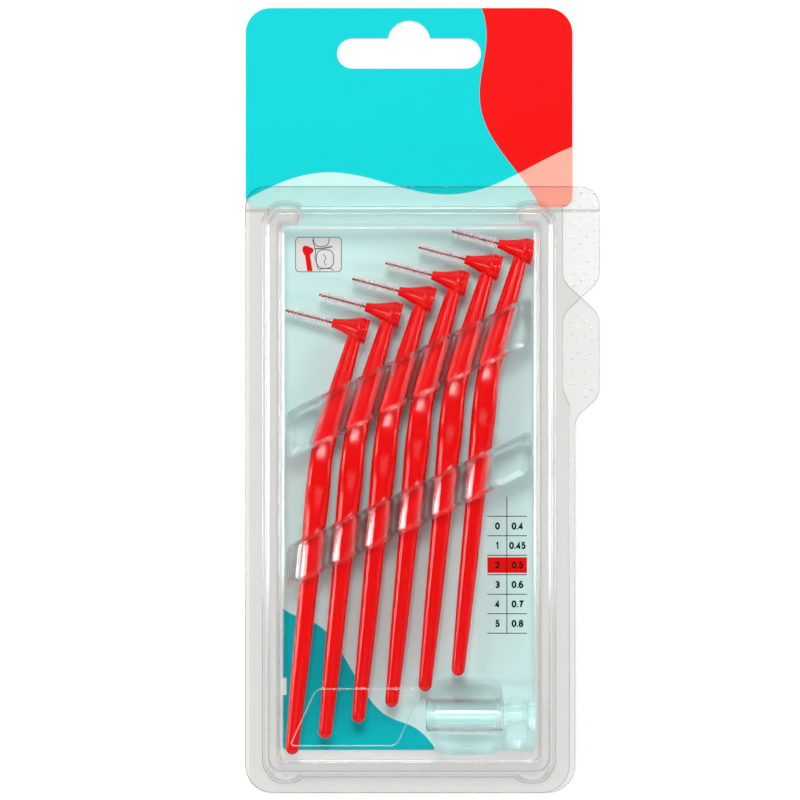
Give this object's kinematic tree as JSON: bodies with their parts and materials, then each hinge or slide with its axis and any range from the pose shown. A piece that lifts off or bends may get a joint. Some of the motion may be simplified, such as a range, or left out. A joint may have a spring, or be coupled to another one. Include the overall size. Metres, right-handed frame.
{
  "type": "interdental brush pack",
  "caption": "Hinged clear clamshell pack on a hang card, holding angled interdental brushes in snap channels, with a protective cap.",
  "frame": {"origin": "middle of the pack's outline, in the plane of its flat back", "axes": "the pack lies on its back: +X across the front towards the grip tabs, +Y up towards the hang hole, +Z out of the front"},
  "size_m": [0.0788, 0.1744, 0.0145],
  "materials": {
    "rear_shell": "clear formed sheet",
    "front_shell": "clear formed sheet",
    "hang_card": "printed coated board in turquoise, red and pale aqua",
    "protective_cap": "clear moulded plastic",
    "brush_handle": "smooth red moulded plastic",
    "coated_wire": "plastic coated twisted steel wire",
    "bristle": "fine nylon filaments"
  },
  "bodies": {
    "rear_half": {"rear_shell": "rear_shell", "hang_card": "hang_card"},
    "front_half": {"front_shell": "front_shell", "protective_cap": "protective_cap", "brush_1_handle": "brush_handle", "brush_1_wire": "coated_wire", "brush_1_bristles": "bristle", "brush_2_handle": "brush_handle", "brush_2_wire": "coated_wire", "brush_2_bristles": "bristle", "brush_3_handle": "brush_handle", "brush_3_wire": "coated_wire", "brush_3_bristles": "bristle", "brush_4_handle": "brush_handle", "brush_4_wire": "coated_wire", "brush_4_bristles": "bristle", "brush_5_handle": "brush_handle", "brush_5_wire": "coated_wire", "brush_5_bristles": "bristle", "brush_6_handle": "brush_handle", "brush_6_wire": "coated_wire", "brush_6_bristles": "bristle"}
  },
  "joints": [
    {"name": "clamshell_hinge", "type": "hinge", "parent": "rear_half", "child": "front_half", "pos_m": [-0.0394, 0, 0.0004], "axis": [0, -1, 0], "range_deg": [0, 170]}
  ]
}
